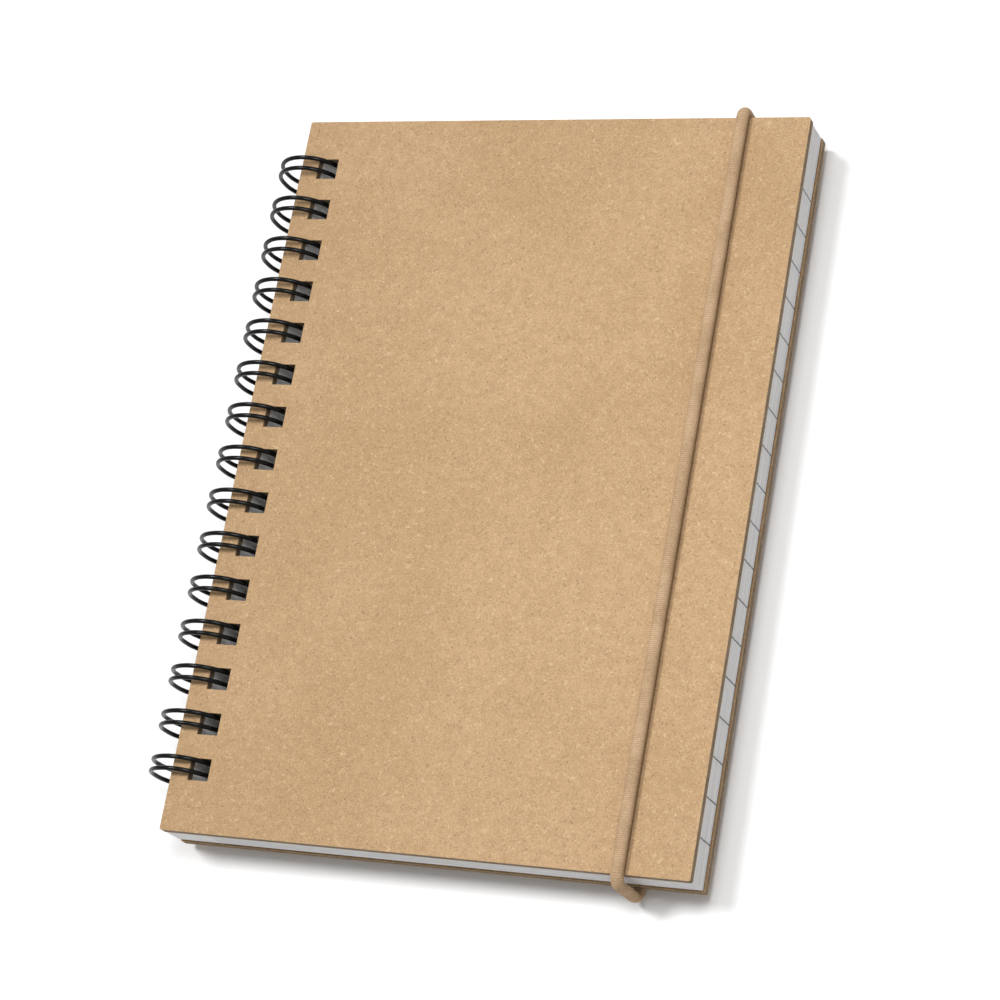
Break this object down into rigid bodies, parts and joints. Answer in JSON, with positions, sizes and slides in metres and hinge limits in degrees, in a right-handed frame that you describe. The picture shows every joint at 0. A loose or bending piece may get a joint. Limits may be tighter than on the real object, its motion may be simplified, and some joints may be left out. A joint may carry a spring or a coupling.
{
  "type": "sketchbook",
  "caption": "Pocket sketchbook with kraft board covers, ruled leaves on a black twin-loop wire through square holes, and a vertical elastic cord closure.",
  "frame": {"origin": "middle of the rectangle that the closed book stands in, on the surface it lies on", "axes": "+X from spine to fore-edge, +Y from tail to head, +Z out of the front cover"},
  "size_m": [0.1062, 0.1446, 0.0147],
  "materials": {
    "kraft_liner": "matt kraft paper with fine fibres and specks",
    "grey_board": "matt chipboard, seen at its cut edges",
    "ruled_paper": "matt uncoated paper with ruled lines",
    "black_wire": "glossy black coating",
    "elastic_cord": "braided beige elastic with fine cross ribs",
    "clip_steel": "flat stamped clip"
  },
  "bodies": {
    "back_cover": {"back_face_paper": "kraft_liner", "back_board": "grey_board", "back_lining_paper": "kraft_liner", "elastic_end_head": "elastic_cord", "elastic_end_tail": "elastic_cord", "elastic_clip_head": "clip_steel", "elastic_clip_tail": "clip_steel"},
    "front_cover": {"front_face_paper": "kraft_liner", "front_board": "grey_board", "front_lining_paper": "kraft_liner"},
    "leaf_group_01": {"leaves_01": "ruled_paper"},
    "leaf_group_02": {"leaves_02": "ruled_paper"},
    "leaf_group_03": {"leaves_03": "ruled_paper"},
    "leaf_group_04": {"leaves_04": "ruled_paper"},
    "leaf_group_05": {"leaves_05": "ruled_paper"},
    "leaf_group_06": {"leaves_06": "ruled_paper"},
    "leaf_group_07": {"leaves_07": "ruled_paper"},
    "leaf_group_08": {"leaves_08": "ruled_paper"},
    "leaf_group_09": {"leaves_09": "ruled_paper"},
    "leaf_group_10": {"leaves_10": "ruled_paper"},
    "leaf_group_11": {"leaves_11": "ruled_paper"},
    "leaf_group_12": {"leaves_12": "ruled_paper"},
    "wire": {"wire_binding": "black_wire"},
    "closure": {"elastic_loop": "elastic_cord"}
  },
  "joints": [
    {"name": "front_cover_turn", "type": "hinge", "parent": "back_cover", "child": "front_cover", "pos_m": [-0.04689, 0, 0.00737], "axis": [0, -1, 0], "range_deg": [0, 179]},
    {"name": "leaves_01_turn", "type": "hinge", "parent": "back_cover", "child": "leaf_group_01", "pos_m": [-0.04689, 0, 0.00737], "axis": [0, -1, 0], "range_deg": [0, 165.3]},
    {"name": "leaves_02_turn", "type": "hinge", "parent": "back_cover", "child": "leaf_group_02", "pos_m": [-0.04689, 0, 0.00737], "axis": [0, -1, 0], "range_deg": [0, 151.5]},
    {"name": "leaves_03_turn", "type": "hinge", "parent": "back_cover", "child": "leaf_group_03", "pos_m": [-0.04689, 0, 0.00737], "axis": [0, -1, 0], "range_deg": [0, 137.7]},
    {"name": "leaves_04_turn", "type": "hinge", "parent": "back_cover", "child": "leaf_group_04", "pos_m": [-0.04689, 0, 0.00737], "axis": [0, -1, 0], "range_deg": [0, 124]},
    {"name": "leaves_05_turn", "type": "hinge", "parent": "back_cover", "child": "leaf_group_05", "pos_m": [-0.04689, 0, 0.00737], "axis": [0, -1, 0], "range_deg": [0, 110.2]},
    {"name": "leaves_06_turn", "type": "hinge", "parent": "back_cover", "child": "leaf_group_06", "pos_m": [-0.04689, 0, 0.00737], "axis": [0, -1, 0], "range_deg": [0, 96.4]},
    {"name": "leaves_07_turn", "type": "hinge", "parent": "back_cover", "child": "leaf_group_07", "pos_m": [-0.04689, 0, 0.00737], "axis": [0, -1, 0], "range_deg": [0, 82.7]},
    {"name": "leaves_08_turn", "type": "hinge", "parent": "back_cover", "child": "leaf_group_08", "pos_m": [-0.04689, 0, 0.00737], "axis": [0, -1, 0], "range_deg": [0, 68.9]},
    {"name": "leaves_09_turn", "type": "hinge", "parent": "back_cover", "child": "leaf_group_09", "pos_m": [-0.04689, 0, 0.00737], "axis": [0, -1, 0], "range_deg": [0, 55.1]},
    {"name": "leaves_10_turn", "type": "hinge", "parent": "back_cover", "child": "leaf_group_10", "pos_m": [-0.04689, 0, 0.00737], "axis": [0, -1, 0], "range_deg": [0, 41.4]},
    {"name": "leaves_11_turn", "type": "hinge", "parent": "back_cover", "child": "leaf_group_11", "pos_m": [-0.04689, 0, 0.00737], "axis": [0, -1, 0], "range_deg": [0, 27.6]},
    {"name": "leaves_12_turn", "type": "hinge", "parent": "back_cover", "child": "leaf_group_12", "pos_m": [-0.04689, 0, 0.00737], "axis": [0, -1, 0], "range_deg": [0, 13.8]},
    {"name": "wire_shift", "type": "slide", "parent": "back_cover", "child": "wire", "axis": [-1, 0, 0], "range_m": [0, 0.00103]},
    {"name": "elastic_slip", "type": "slide", "parent": "back_cover", "child": "closure", "axis": [1, 0, 0], "range_m": [0, 0.016], "deforming": ["elastic_loop"]}
  ],
  "couplings": [
    {"joint": "leaves_01_turn", "follows": "front_cover_turn", "ratio": 0.92308},
    {"joint": "leaves_02_turn", "follows": "front_cover_turn", "ratio": 0.84615},
    {"joint": "leaves_03_turn", "follows": "front_cover_turn", "ratio": 0.76923},
    {"joint": "leaves_04_turn", "follows": "front_cover_turn", "ratio": 0.69231},
    {"joint": "leaves_05_turn", "follows": "front_cover_turn", "ratio": 0.61538},
    {"joint": "leaves_06_turn", "follows": "front_cover_turn", "ratio": 0.53846},
    {"joint": "leaves_07_turn", "follows": "front_cover_turn", "ratio": 0.46154},
    {"joint": "leaves_08_turn", "follows": "front_cover_turn", "ratio": 0.38461},
    {"joint": "leaves_09_turn", "follows": "front_cover_turn", "ratio": 0.30769},
    {"joint": "leaves_10_turn", "follows": "front_cover_turn", "ratio": 0.23077},
    {"joint": "leaves_11_turn", "follows": "front_cover_turn", "ratio": 0.15385},
    {"joint": "leaves_12_turn", "follows": "front_cover_turn", "ratio": 0.076923},
    {"joint": "wire_shift", "follows": "front_cover_turn", "m_per_rad": 0.00032659},
    {"joint": "elastic_slip", "follows": "front_cover_turn", "m_per_rad": 0.0050898}
  ]
}
